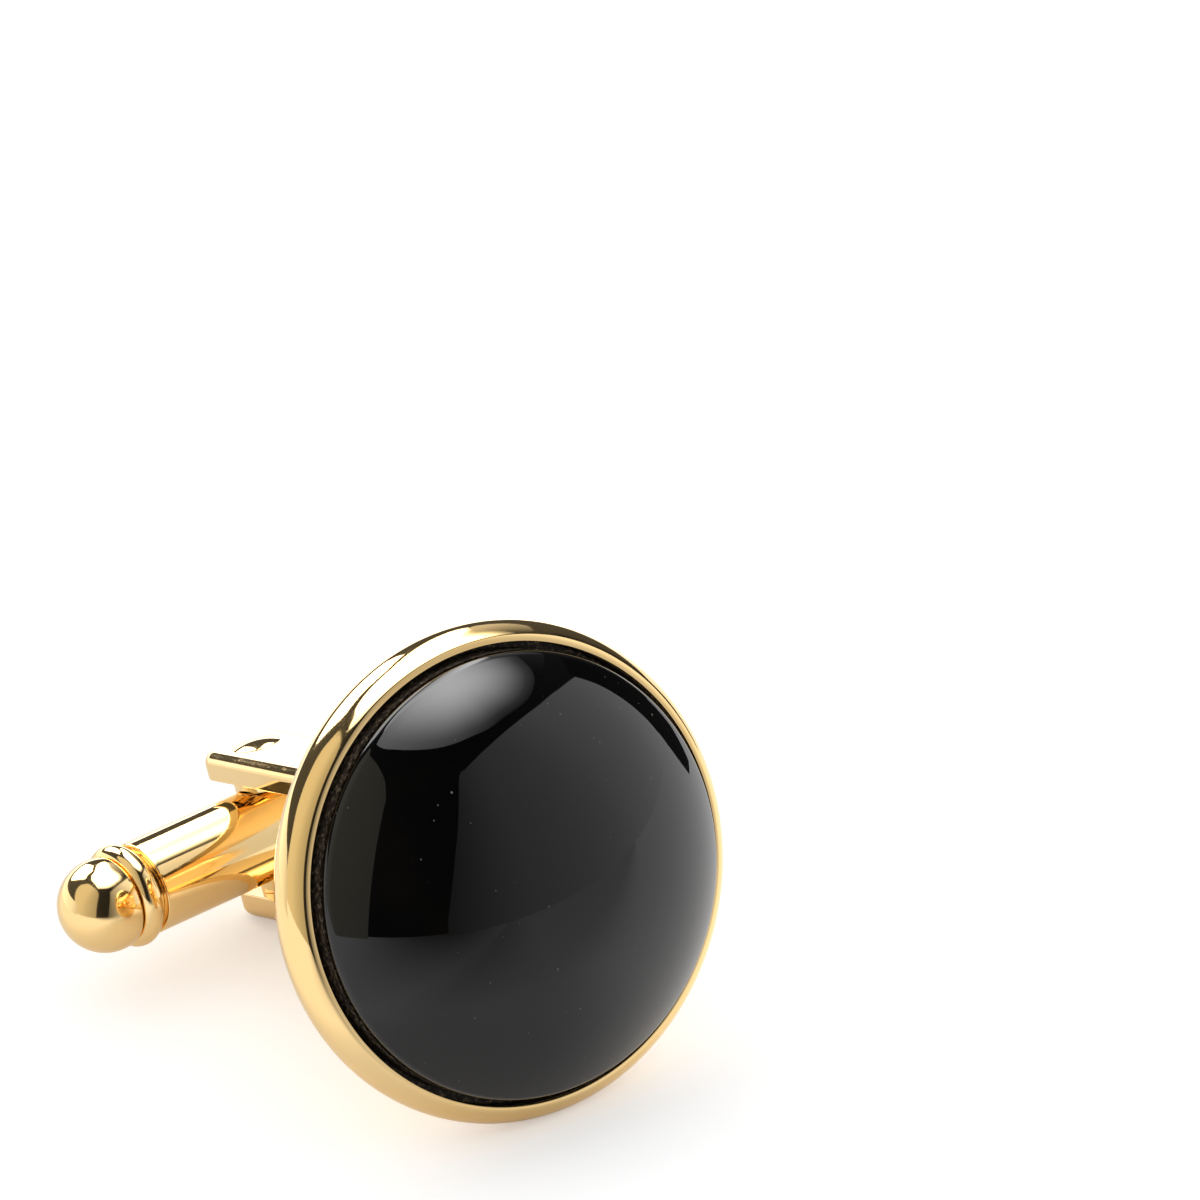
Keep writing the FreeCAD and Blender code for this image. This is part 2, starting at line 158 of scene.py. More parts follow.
ONYX_DEEP = (0.0009, 0.0008, 0.0008)
ONYX_CLOUDED = (0.0024, 0.0019, 0.0015)
ONYX_CLOUDS = (240, 4, 0.4, 0.7)
ONYX_SMEARS = (900, 4, 0.4, 0.8)
ONYX_POLISH = (0.012, 0.035)
ONYX_WAVES = (420, 1)
ONYX_WAVE_DEPTH = 0.5e-6
ONYX_IOR = 1.48
SPECK_COLOUR = (0.07, 0.065, 0.06)
SPECK_CELLS = 2100
SPECK_LUCK = (5200, 1)
SPECK_RARITY = 3
SPECK_SIZE = 0.27

CEMENT_DARK = (0.010, 0.008, 0.006)
CEMENT_BROWN = (0.022, 0.017, 0.012)
CEMENT_DUST = (0.20, 0.17, 0.12)
CEMENT_CLOUDS = (700, 4)
CEMENT_GRAINS = (9000, 2, 0.62, 0.70)
CEMENT_GRIT = (2400, 4)
CEMENT_GRIT_DEPTH = 2e-5
CEMENT_ROUGHNESS = 0.65

STEEL_DARK = (0.50, 0.50, 0.52)
STEEL_BRIGHT = (0.66, 0.66, 0.68)
STEEL_MARKS = (1, 2)
STEEL_MARK_STRETCH = (3000, 9000, 9000)
STEEL_MARK_SPREAD = (0.3, 0.7)
STEEL_MARK_DEPTH = 1.5e-6
STEEL_POLISH = (0.16, 0.34)

# where the link and its bar lie, from the frame's only joint
joint = frame["joints"][0]
pin_axis = Vector(joint["axis"])
across_axis = Vector((1, 0, 0))
post_axis = pin_axis.cross(across_axis)
turn = Matrix((across_axis, post_axis, pin_axis)).transposed().to_4x4()
swing = math.radians(90 - joint["range_deg"][1])
PIVOT = Matrix.Translation(joint["pos_m"]) @ turn @ Matrix.Scale(MM, 4)
LINK = PIVOT @ Matrix.Translation((0, -PIVOT_SETBACK, 0))
BAR = PIVOT @ Matrix.Rotation(swing, 4, "Z")
BAR_TURNED_ROUND = BAR @ Matrix.Rotation(math.pi, 4, "Z")
ABOUT_POST = Matrix.Identity(4)
ABOUT_PIN = Matrix.Rotation(math.pi / 2, 4, "X")
ABOUT_BAR = Matrix.Rotation(-math.pi / 2, 4, "Z")


def feed(tree, source, socket):
    """A number or a colour is set on the socket, an output is linked to it."""
    if isinstance(source, (int, float)):
        socket.default_value = source
    elif isinstance(source, tuple):
        socket.default_value = (*source, 1)
    else:
        tree.links.new(source, socket)


def paint_of(tree, name):
    """What is painted on the mesh under the given name."""
    made = tree.nodes.new("ShaderNodeAttribute")
    made.attribute_name = name
    return made.outputs["Fac"]


class Finish:
    """A procedural material under construction, read in object coordinates."""

    def __init__(self, name):
        self.material = bpy.data.materials.new(name)
        self.material.use_nodes = True
        self.tree = self.material.node_tree
        self.shader = self.tree.nodes["Principled BSDF"]
        self.place = self.node("ShaderNodeTexCoord").outputs["Object"]

    def node(self, kind, **settings):
        made = self.tree.nodes.new(kind)
        for key, setting in settings.items():
            setattr(made, key, setting)
        return made

    def link(self, source, target):
        self.tree.links.new(source, target)

    def stretched(self, scale):
        """Object coordinates scaled by different shares along the three axes."""
        mapping = self.node("ShaderNodeMapping")
        mapping.inputs["Scale"].default_value = scale
        self.link(self.place, mapping.inputs["Vector"])
        return mapping.outputs["Vector"]

    def noise(self, scale, detail, place=None):
        made = self.node("ShaderNodeTexNoise")
        made.inputs["Scale"].default_value = scale
        made.inputs["Detail"].default_value = detail
        self.link(place or self.place, made.inputs["Vector"])
        return made.outputs["Fac"]

    def spread(self, source, stretch, to):
        """The source's stretch from low to high, mapped to another one."""
        made = self.node("ShaderNodeMapRange")
        for name, number in zip(("From Min", "From Max", "To Min", "To Max"), (*stretch, *to)):
            made.inputs[name].default_value = number
        self.link(source, made.inputs["Value"])
        return made.outputs["Result"]

    def patches(self, given, to=(0, 1), place=None):
        """A noise in soft patches, from one number to the other."""
        scale, detail, low, high = given
        return self.spread(self.noise(scale, detail, place), (low, high), to)

    def math(self, operation, first, second):
        made = self.node("ShaderNodeMath", operation=operation)
        feed(self.tree, first, made.inputs[0])
        feed(self.tree, second, made.inputs[1])
        return made.outputs["Value"]

    def blend(self, share, first, second):
        """One colour or the other by the share, each a colour or an output."""
        made = self.node("ShaderNodeMix", data_type="RGBA")
        self.link(share, made.inputs["Factor"])
        colours = [socket for socket in made.inputs if socket.type == "RGBA"]
        for source, socket in zip((first, second), colours):
            feed(self.tree, source, socket)
        return next(socket for socket in made.outputs if socket.type == "RGBA")

    def bump(self, height, depth, after=None):
        """A bump of the given depth in metres, over another one if given."""
        made = self.node("ShaderNodeBump")
        made.inputs["Distance"].default_value = depth
        self.link(height, made.inputs["Height"])
        if after:
            self.link(after, made.inputs["Normal"])
        return made.outputs["Normal"]

    def set(self, **sockets):
        """Shader sockets by name, spaces written as underscores."""
        for name, source in sockets.items():
            feed(self.tree, source, self.shader.inputs[name.replace("_", " ")])


def gold_plate(name, haze=0.0, crevices=False):
    """Polished gold plate: tone that drifts, faint smudges, hairline scratches and a slight waviness.

    In crevices, where the mesh is painted so, it is dull, dark brown and not metal: painted shade down the
    bore.
    """
    gold = Finish(name)
    tone = gold.blend(gold.patches(GOLD_DRIFT), GOLD_DEEP, GOLD_PALE)
    smudges = gold.patches(GOLD_SMUDGES, [dullness + haze for dullness in GOLD_POLISH])
    scratches = gold.patches(HAIRLINES, (0, HAIRLINE_DULLNESS), gold.stretched(HAIRLINE_STRETCH))
    polish = gold.math("ADD", smudges, scratches)
    metal = 1.0
    # Painted shade: deeper in the gap, the gold turns dark brown, dull and not metal.
    if crevices:
        painted_shade = gold.math("MULTIPLY", paint_of(gold.tree, "crevice"), gold.patches(RING_PAINTED_SHADE, RING_PAINTED_SHADE_COVER))
        tone = gold.blend(painted_shade, tone, CREVICE_DUST_AND_SHADE)
        polish = gold.math("MAXIMUM", polish, gold.math("MULTIPLY", painted_shade, RING_CREVICE_DULLNESS))
        metal = gold.math("SUBTRACT", 1, painted_shade)
    waves = gold.bump(gold.noise(*GOLD_WAVES), GOLD_WAVE_DEPTH)
    relief = gold.bump(scratches, HAIRLINE_DEPTH, waves)
    gold.set(Base_Color=tone, Roughness=polish, Metallic=metal, Normal=relief)
    return gold.material


def black_onyx():
    """Black chalcedony under a glassy polish, with a brownish depth and a few specks.

    In the gap round it, where the mesh is painted so, it is dull with dust.
    """
    onyx = Finish("onyx")
    depth = onyx.blend(onyx.patches(ONYX_CLOUDS), ONYX_DEEP, ONYX_CLOUDED)
    cells = onyx.node("ShaderNodeTexVoronoi")
    cells.inputs["Scale"].default_value = SPECK_CELLS
    onyx.link(onyx.place, cells.inputs["Vector"])
    luck = onyx.math("POWER", onyx.noise(*SPECK_LUCK), SPECK_RARITY)
    specks = onyx.math("LESS_THAN", cells.outputs["Distance"], onyx.math("MULTIPLY", luck, SPECK_SIZE))
    body = onyx.blend(specks, depth, SPECK_COLOUR)
    dust = onyx.math("MULTIPLY", paint_of(onyx.tree, "crevice"), onyx.patches(STONE_DUST, STONE_DUST_COVER))
    lint = onyx.blend(onyx.patches(STONE_LINT), CREVICE_DUST_AND_SHADE, CREVICE_LINT)
    dull = onyx.math("MULTIPLY", onyx.math("MAXIMUM", specks, dust), STONE_DUST_DULLNESS)
    polish = onyx.math("ADD", onyx.patches(ONYX_SMEARS, ONYX_POLISH), dull)
    waves = onyx.bump(onyx.noise(*ONYX_WAVES), ONYX_WAVE_DEPTH)
    onyx.set(Base_Color=onyx.blend(dust, body, lint), Roughness=polish, IOR=ONYX_IOR, Normal=waves)
    return onyx.material


def dark_cement():
    """Cured resin, dark and matt, with grains of dust caught on it."""
    cement = Finish("cement")
    tone = cement.blend(cement.noise(*CEMENT_CLOUDS), CEMENT_DARK, CEMENT_BROWN)
    tone = cement.blend(cement.patches(CEMENT_GRAINS), tone, CEMENT_DUST)
    grit = cement.bump(cement.noise(*CEMENT_GRIT), CEMENT_GRIT_DEPTH)
    cement.set(Base_Color=tone, Roughness=CEMENT_ROUGHNESS, Normal=grit)
    return cement.material


def spring_steel():
    """Bright drawn steel with fine marks."""
    steel = Finish("spring_steel")
    marks = steel.noise(*STEEL_MARKS, steel.stretched(STEEL_MARK_STRETCH))
    tone = steel.blend(marks, STEEL_DARK, STEEL_BRIGHT)
    polish = steel.spread(marks, STEEL_MARK_SPREAD, STEEL_POLISH)
    steel.set(Base_Color=tone, Metallic=1.0, Roughness=polish, Normal=steel.bump(marks, STEEL_MARK_DEPTH))
    return steel.material


def arc(centre, radius, start_deg, end_deg, step_deg=ARC_STEP_DEG):
    """A section's points on an arc; 0 degrees points away from the axis, 90 along it."""
    count = max(2, math.ceil(abs(end_deg - start_deg) / step_deg))
    points = []
    for i in range(count + 1):
        angle = math.radians(start_deg + (end_deg - start_deg) * i / count)
        points.append((centre[0] + radius * math.cos(angle), centre[1] + radius * math.sin(angle)))
    return points


def eased(points, radius, closed=False):
    """The section with each crisp corner eased by a small round and held flat beside it."""
    corners = [Vector(point) for point in points]
    count = len(corners)
    section = []
    for i, corner in enumerate(corners):
        back = corners[i - 1] - corner
        on = corners[(i + 1) % count] - corner
        at_end = not closed and i in (0, count - 1)
        bend = 0 if at_end else math.pi - back.angle(on)
        if bend < CRISP_TURN:
            section.append(corner)
            continue
        tangent = math.tan(bend / 2)
        reach = min(radius * tangent, HOLD_SHARE * back.length, HOLD_SHARE * on.length)
        round_radius = reach / tangent
        back.normalize()
        on.normalize()
        centre = corner + (back + on).normalized() * round_radius / math.cos(bend / 2)
        first = corner + back * reach - centre
        last = corner + on * reach - centre
        sweep = math.atan2(first.x * last.y - first.y * last.x, first.dot(last))
        section.append(corner + back * reach * 2)
        for step in range(EASING_STEPS + 1):
            angle = sweep * step / EASING_STEPS
            cosine, sine = math.cos(angle), math.sin(angle)
            spoke = Vector((first.x * cosine - first.y * sine, first.x * sine + first.y * cosine))
            section.append(centre + spoke)
        section.append(corner + on * reach * 2)
    if closed:
        section.append(section[0])
    return section


def turning_tree():
    """Nodes that turn a section, given as a row of points in the XY plane, once round the Y axis."""
    tree = bpy.data.node_groups.new("turned_piece", "GeometryNodeTree")
    tree.interface.new_socket("Section", in_out="INPUT", socket_type="NodeSocketGeometry")
    steps = tree.interface.new_socket("Steps Around", in_out="INPUT", socket_type="NodeSocketInt")
    finish = tree.interface.new_socket("Finish", in_out="INPUT", socket_type="NodeSocketMaterial")
    tree.interface.new_socket("Turned Piece", in_out="OUTPUT", socket_type="NodeSocketGeometry")

    def node(kind, **settings):
        made = tree.nodes.new(kind)
        for key, setting in settings.items():
            setattr(made, key, setting)
        return made

    def link(source, target):
        tree.links.new(source, target)

    given = node("NodeGroupInput")
    size = node("GeometryNodeAttributeDomainSize", component="MESH")
    link(given.outputs["Section"], size.inputs["Geometry"])
    columns = node("FunctionNodeIntegerMath", operation="ADD")
    link(given.outputs["Steps Around"], columns.inputs[0])
    columns.inputs[1].default_value = 1
    grid = node("GeometryNodeMeshGrid")
    link(size.outputs["Point Count"], grid.inputs["Vertices X"])
    link(columns.outputs[0], grid.inputs["Vertices Y"])

    index = node("GeometryNodeInputIndex")
    row = node("FunctionNodeIntegerMath", operation="DIVIDE_FLOOR")
    column = node("FunctionNodeIntegerMath", operation="MODULO")
    for part in (row, column):
        link(index.outputs["Index"], part.inputs[0])
        link(columns.outputs[0], part.inputs[1])
    share = node("ShaderNodeMath", operation="DIVIDE")
    link(column.outputs[0], share.inputs[0])
    link(given.outputs["Steps Around"], share.inputs[1])
    angle = node("ShaderNodeMath", operation="MULTIPLY")
    link(share.outputs[0], angle.inputs[0])
    angle.inputs[1].default_value = 2 * math.pi

    where = node("GeometryNodeInputPosition")
    point = node("GeometryNodeSampleIndex", data_type="FLOAT_VECTOR", domain="POINT")
    link(given.outputs["Section"], point.inputs["Geometry"])
    link(where.outputs["Position"], point.inputs["Value"])
    link(row.outputs[0], point.inputs["Index"])
    spun = node("ShaderNodeVectorRotate", rotation_type="Y_AXIS")
    link(point.outputs["Value"], spun.inputs["Vector"])
    link(angle.outputs[0], spun.inputs["Angle"])

    placed = node("GeometryNodeSetPosition")
    link(grid.outputs["Mesh"], placed.inputs["Geometry"])
    link(spun.outputs["Vector"], placed.inputs["Position"])
    closed = node("GeometryNodeMergeByDistance")
    link(placed.outputs["Geometry"], closed.inputs["Geometry"])
    closed.inputs["Distance"].default_value = TOUCHING
    real = node("GeometryNodeRealizeInstances")
    link(closed.outputs["Geometry"], real.inputs["Geometry"])
    coated = node("GeometryNodeSetMaterial")
    link(real.outputs["Geometry"], coated.inputs["Geometry"])
    link(given.outputs["Finish"], coated.inputs["Material"])
    out = node("NodeGroupOutput")
    link(coated.outputs["Geometry"], out.inputs["Turned Piece"])
    return tree, steps.identifier, finish.identifier


TURNING, STEPS_INPUT, FINISH_INPUT = turning_tree()


def as_object(name, data):
    """A new object of the scene, at the origin."""
    made = bpy.data.objects.new(name, data)
    bpy.context.scene.collection.objects.link(made)
    return made


def settled(made):
    """A plain mesh of the object with its modifiers worked out; the object itself goes."""
    bpy.context.view_layer.update()
    evaluated = made.evaluated_get(bpy.context.evaluated_depsgraph_get())
    mesh = bpy.data.meshes.new_from_object(evaluated)
    bpy.data.objects.remove(made)
    return mesh


def outward(mesh):
    """The mesh with every face turned outwards."""
    shell = bmesh.new()
    shell.from_mesh(mesh)
    bmesh.ops.recalc_face_normals(shell, faces=shell.faces)
    shell.to_mesh(mesh)
    shell.free()
    return mesh


def turned(section, steps, finish, axis):
    """The mesh of a section turned once round the given axis."""
    line = bpy.data.meshes.new("section")
    points = [(point[0], point[1], 0) for point in section]
    line.from_pydata(points, [(i, i + 1) for i in range(len(points) - 1)], [])
    made = as_object("section", line)
    modifier = made.modifiers.new("turned", "NODES")
    modifier.node_group = TURNING
    modifier[STEPS_INPUT] = steps
    modifier[FINISH_INPUT] = finish
    mesh = outward(settled(made))
    mesh.transform(axis)
    return mesh


def combined(base, other, operation):
    """One mesh with the other cut away or joined on."""
    made = as_object("base", base)
    tool = as_object("tool", other)
    modifier = made.modifiers.new("combined", "BOOLEAN")
    modifier.object = tool
    modifier.operation = operation
    modifier.solver = "EXACT"
    mesh = settled(made)
    bpy.data.objects.remove(tool)
    return mesh


def with_crevice(mesh, depth_at):
    """The mesh painted by how deep in the gap each point is: painted shade on the ring's bore, dust on the
    stone.
    """
    painted = mesh.attributes.new("crevice", "FLOAT", "POINT")
    painted.data.foreach_set("value", [min(max(depth_at(vert.co), 0.0), 1.0) for vert in mesh.vertices])
    return mesh


def in_bore(point):
    """Depth of the painted shade: nought on the lip and just below it, one a little further down the bore."""
    radius = math.hypot(point.x, point.z)
    if radius > LIP_RADIUS + SOLDER_GAP or point.y > -PLATE_THICKNESS - SOLDER_GAP:
        return 0.0
    return (point.y - lip_place() - CREVICE_START) / CREVICE_FADE


def on_girdle(point):
    """Nought on the dome and the clean strip below it, one a little further down."""
    if math.hypot(point.x, point.z) < STONE_RADIUS - CREVICE_START:
        return 0.0
    return (point.y + STONE_EDGE - CLEAN_GIRDLE) / CREVICE_FADE


def shaded(mesh):
    mesh.shade_smooth()
    mesh.set_sharp_from_angle(angle=SHARP_ANGLE)
    return mesh


def flats_kept(mesh):
    """Shading that keeps large flats flat beside their rounded edges."""
    made = as_object("flats", shaded(mesh))
    modifier = made.modifiers.new("flats", "WEIGHTED_NORMAL")
    modifier.keep_sharp = True
    modifier.weight = FLAT_WEIGHT
    return settled(made)


def finished(node, mesh, place, body):
    """The piece that stands for a CAD node, put in its place on its body."""
    mesh.transform(place)
    piece = as_object(f"{node}_piece", mesh)
    mesh.name = piece.name
    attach(piece, body)
    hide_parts(node)


def lip_place():
    """Where the lip's front lies along the post."""
    return -RIM_ROUND - math.sqrt(RIM_ROUND ** 2 - (RIM_ROUND - RIM_SWELL) ** 2)


def bezel_section():
    """Half-round ring rolled over into its lip, with a bore, a ledge and a recess for the back plate."""
    rim_centre = LIP_RADIUS + LIP_FLAT + RIM_SWELL - RIM_ROUND
    lip = lip_place()
    lip_drop = -RIM_ROUND - lip - LIP_ROUND
    lip_out = math.sqrt((RIM_ROUND - LIP_ROUND) ** 2 - lip_drop ** 2)
    lip_deg = math.degrees(math.atan2(lip_drop, lip_out))
    rolled_lip = arc((rim_centre + lip_out, lip + LIP_ROUND), LIP_ROUND, -90, -lip_deg)
    rim = rolled_lip + arc((rim_centre, -RIM_ROUND), RIM_ROUND, -lip_deg, 90)[1:]
    recess = rim_centre - CUFF_FACE_WIDTH
    ledge = recess - LEDGE_STEP
    inside = [
        (recess, 0),
        (recess, -PLATE_THICKNESS),
        (ledge, -PLATE_THICKNESS),
        (ledge, -SEAT_HEIGHT),
        (LIP_RADIUS, -SEAT_HEIGHT),
        (LIP_RADIUS, lip + CREVICE_START + CREVICE_FADE),
        (LIP_RADIUS, lip + CREVICE_START),
        (LIP_RADIUS, lip),
    ]
    return eased(rim + inside, POLISHED_EDGE, closed=True)


def back_plate_section():
    bore = TENON_RADIUS + SOLDER_GAP
    rim = LIP_RADIUS + LIP_FLAT + RIM_SWELL - RIM_ROUND - CUFF_FACE_WIDTH - SOLDER_GAP
    corners = [(bore, 0), (bore, -PLATE_THICKNESS), (rim, -PLATE_THICKNESS), (rim, 0)]
    return eased(corners, POLISHED_EDGE, closed=True)


def stone_section():
    """Upright girdle, a rounded crease and a spherical dome."""
    rise = STONE_APEX - STONE_EDGE
    dome_radius = (STONE_RADIUS ** 2 + rise ** 2) / (2 * rise)
    dome_centre = dome_radius - STONE_APEX
    crease_out = STONE_RADIUS - STONE_CREASE
    crease_deg = math.degrees(math.acos(crease_out / (dome_radius - STONE_CREASE)))
    crease_on = dome_centre - crease_out * math.tan(math.radians(crease_deg))
    crease = arc((crease_out, crease_on), STONE_CREASE, 0, -crease_deg)
    dome = arc((0, dome_centre), dome_radius, -crease_deg, -90, DOME_STEP_DEG)
    dome[-1] = (0, -STONE_APEX)
    clean = CLEAN_GIRDLE - STONE_EDGE
    girdle = [(STONE_RADIUS, -STONE_BASE), (STONE_RADIUS, clean + CREVICE_FADE), (STONE_RADIUS, clean)]
    return eased([(0, -STONE_BASE)] + girdle + crease[:-1] + dome, POLISHED_EDGE)


def pin_section():
    head_round = (PIN_HEAD_RADIUS ** 2 + PIN_HEAD_RISE ** 2) / (2 * PIN_HEAD_RISE)
    edge_deg = math.degrees(math.acos(PIN_HEAD_RADIUS / head_round))
    head = arc((0, ARM_OUTER + PIN_HEAD_RISE - head_round), head_round, edge_deg, 90)
    head[-1] = (0, ARM_OUTER + PIN_HEAD_RISE)
    upper = [(PIN_RADIUS, 0), (PIN_RADIUS, ARM_OUTER)] + head
    lower = [(radius, -along) for radius, along in reversed(upper)]
    return eased(lower + upper[1:], TURNED_EDGE)


def washer_section(side):
    bore = PIN_RADIUS + SOLDER_GAP
    near = side * (SPOT_FACE + WASHER_CLEARANCE)
    far = side * ARM_INNER
    corners = [(bore, near), (WASHER_RADIUS, near), (WASHER_RADIUS, far), (bore, far)]
    return eased(corners, TURNED_EDGE, closed=True)


def barrel_mesh(finish):
    """The bar's tube, cross-drilled for the pin and spot-faced for the washers."""
    middle = SPOT_FACE_RADIUS + POLISHED_EDGE
    corners = [
        (BORE_RADIUS, -BARREL_END),
        (BORE_RADIUS, BARREL_END),
        (BARREL_RADIUS, BARREL_END),
        (BARREL_RADIUS, middle),
        (BARREL_RADIUS, -middle),
        (BARREL_RADIUS, -BARREL_END),
    ]
    tube = turned(eased(corners, POLISHED_EDGE, closed=True), BAR_STEPS, finish, ABOUT_BAR)
    hole = PIN_RADIUS + PIN_CLEARANCE
    clear = BARREL_RADIUS + SPOT_FACE_RADIUS
    cut = [
        (0, -clear),
        (SPOT_FACE_RADIUS, -clear),
        (SPOT_FACE_RADIUS, -SPOT_FACE),
        (hole, -SPOT_FACE),
        (hole, SPOT_FACE),
        (SPOT_FACE_RADIUS, SPOT_FACE),
        (SPOT_FACE_RADIUS, clear),
        (0, clear),
    ]
    return combined(tube, turned(cut, PIN_STEPS, finish, ABOUT_PIN), "DIFFERENCE")


def cap_section():
    """A plug with a spigot, a bead between two grooves and a domed end."""
    bead_start = BARREL_END + SEAM_WIDTH
    bead = arc((SEAM_RADIUS, bead_start + BEAD_ROUND), BEAD_ROUND, -90, 90, BEAD_STEP_DEG)
    neck = bead_start + 2 * BEAD_ROUND + NECK_WIDTH
    dome_centre = neck + DOME_SETBACK
    dome_start = -math.degrees(math.asin(DOME_SETBACK / BARREL_RADIUS))
    dome = arc((0, dome_centre), BARREL_RADIUS, dome_start, 90)
    dome[-1] = (0, dome_centre + BARREL_RADIUS)
    plug = [
        (0, BARREL_END - SPIGOT_LENGTH),
        (SPIGOT_RADIUS, BARREL_END - SPIGOT_LENGTH),
        (SPIGOT_RADIUS, BARREL_END),
        (SEAM_RADIUS, BARREL_END),
    ]
    return eased(plug + bead + [(SEAM_RADIUS, neck)] + dome, TURNED_EDGE)


def yoke_outline():
    """The bent strip seen from the side, as places along the post and the pin."""
    bend = ARM_OUTER - BEND_ROUND
    slot = WEB_THICKNESS + SLOT_ROUND
    hollow = ARM_INNER - SLOT_ROUND
    points = [(ARM_TIP, -ARM_OUTER), (ARM_TIP, -ARM_INNER)]
    points += arc((slot, -hollow), SLOT_ROUND, 270, 180, SLOT_STEP_DEG)
    points += arc((slot, hollow), SLOT_ROUND, 180, 90, SLOT_STEP_DEG)
    points += [(ARM_TIP, ARM_INNER), (ARM_TIP, ARM_OUTER)]
    points += arc((BEND_ROUND, bend), BEND_ROUND, 90, 180, BEND_STEP_DEG)
    points += arc((BEND_ROUND, -bend), BEND_ROUND, 180, 270, BEND_STEP_DEG)
    return points


def yoke_mesh(finish):
    """The strip bent into a U, its outer edges rounded over, drilled for the pin and given its tenon."""
    strip = bmesh.new()
    half = ARM_WIDTH / 2
    ring = [strip.verts.new((-half, along, up)) for along, up in yoke_outline()]
    side = strip.faces.new(ring)
    grown = bmesh.ops.extrude_face_region(strip, geom=[side])["geom"]
    moved = [item for item in grown if isinstance(item, bmesh.types.BMVert)]
    bmesh.ops.translate(strip, verts=moved, vec=(ARM_WIDTH, 0, 0))
    bmesh.ops.recalc_face_normals(strip, faces=strip.faces)

    def at_tip(edge):
        first, last = (vert.co for vert in edge.verts)
        upright = abs(first.x - last.x) < TOUCHING and abs(first.z - last.z) > TOUCHING
        return upright and min(first.y, last.y) > ARM_TIP - TOUCHING

    def on_outside(face):
        middle = face.calc_center_median()
        in_bend = middle.y < BEND_ROUND and abs(middle.z) > ARM_OUTER - BEND_ROUND
        bulges = face.normal.dot(middle - Vector((middle.x, BEND_ROUND, 0))) > 0
        upright = abs(face.normal.x) < TOUCHING
        on_arm = abs(middle.z) > ARM_OUTER - TOUCHING
        return upright and (on_arm or middle.y < TOUCHING or (in_bend and bulges))

    def bevelled(edges, reach, steps):
        bmesh.ops.bevel(strip, geom=edges, offset=reach, offset_type="OFFSET", segments=steps,
                        profile=ROUND_PROFILE, affect="EDGES", clamp_overlap=False)

    bevelled([edge for edge in strip.edges if at_tip(edge)], ARM_CORNER, ARM_CORNER_STEPS)
    outside = {face for face in strip.faces if on_outside(face)}
    border = [edge for edge in strip.edges if sum(face in outside for face in edge.link_faces) == 1]
    bevelled(border, ARM_EDGE_ROUND, ARM_EDGE_STEPS)
    crisp = [edge for edge in strip.edges if edge.calc_face_angle(0) > SHARP_ANGLE]
    bevelled(crisp, POLISHED_EDGE, POLISHED_EDGE_STEPS)
    mesh = bpy.data.meshes.new("strip")
    strip.to_mesh(mesh)
    strip.free()
    mesh.materials.append(finish)

    tenon = [(0, -PLATE_THICKNESS), (TENON_RADIUS, -PLATE_THICKNESS)]
    tenon += [(TENON_RADIUS, WEB_THICKNESS / 2), (0, WEB_THICKNESS / 2)]
    mesh = combined(mesh, turned(tenon, PIN_STEPS, finish, ABOUT_POST), "UNION")
    clear = ARM_OUTER + BEND_ROUND
    hole_radius = PIN_RADIUS + SOLDER_GAP
    hole = [(0, -clear), (hole_radius, -clear), (hole_radius, clear), (0, clear)]
    drill = turned(hole, PIN_STEPS, finish, Matrix.Translation((0, PIVOT_SETBACK, 0)) @ ABOUT_PIN)
    return combined(mesh, drill, "DIFFERENCE")


def dress_link():
    """Every piece that shows, in place of its plain solid, and finishes for the cement and the click ball.

    The click spring keeps the frame's own plain steel.
    """
    ring_gold = gold_plate("gold_ring", crevices=True)
    bar_gold = gold_plate("gold_bar", haze=BAR_HAZE)
    post_gold = gold_plate("gold_post", haze=POST_HAZE)
    plate_gold = gold_plate("gold_back")
    ring = turned(bezel_section(), RING_STEPS, ring_gold, ABOUT_POST)
    stone = turned(stone_section(), RING_STEPS, black_onyx(), ABOUT_POST)
    front = [
        ("bezel", with_crevice(ring, in_bore), LINK, "gold_plate"),
        ("back_plate", turned(back_plate_section(), RING_STEPS, plate_gold, ABOUT_POST), LINK, "gold_plate"),
        ("onyx_cabochon", with_crevice(stone, on_girdle), LINK, "onyx"),
        ("pivot_pin", turned(pin_section(), PIN_STEPS, post_gold, ABOUT_PIN), PIVOT, "gold_plate"),
        ("washer_upper", turned(washer_section(1), PIN_STEPS, post_gold, ABOUT_PIN), PIVOT, "gold_plate"),
        ("washer_lower", turned(washer_section(-1), PIN_STEPS, post_gold, ABOUT_PIN), PIVOT, "gold_plate"),
    ]
    for node, mesh, place, slot in front:
        finished(node, shaded(mesh), place, "front")
    finished("yoke", flats_kept(yoke_mesh(post_gold)), LINK, "front")
    finished("toggle_barrel", shaded(barrel_mesh(bar_gold)), BAR, "toggle")
    for node, place in (("end_cap_right", BAR), ("end_cap_left", BAR_TURNED_ROUND)):
        cap = turned(cap_section(), BAR_STEPS, bar_gold, ABOUT_BAR)
        finished(node, shaded(cap), place, "toggle")
    for node, material in (("stone_cement", dark_cement()), ("detent_ball", spring_steel())):
        materials = frame["nodes"][node].data.materials
        materials.clear()
        materials.append(material)


dress_link()

# Studio, in metres. Directions are degrees: azimuth 0 is the stone's side, 90 the right, elevation upwards.
# The sheets of light are seen only in what is polished. The world's even light does the rest.
WHITE_LIGHT = (1.0, 1.0, 1.0)
WARM_LIGHT = (1.0, 0.94, 0.76)
WORLD_FILL = 1.0
FLOOR_SIZE = 6.0
FLOOR_PAPER = 0.88
FLOOR_LIFT = 0.3

# Painted pools of light: polished pieces mirror a table that glows brighter beside the link, right and left.
# They fade in across the table, the right one also along it, where it reaches further forward further out.
POOL_LEVEL = 0.35
POOL_ACROSS = (-0.002, 0.010)
POOL_ALONG = (-0.030, -0.010)
POOL_SLANT = 0.6
LEFT_POOL_LEVEL = 0.28
LEFT_POOL_ACROSS = (-0.010, -0.019)

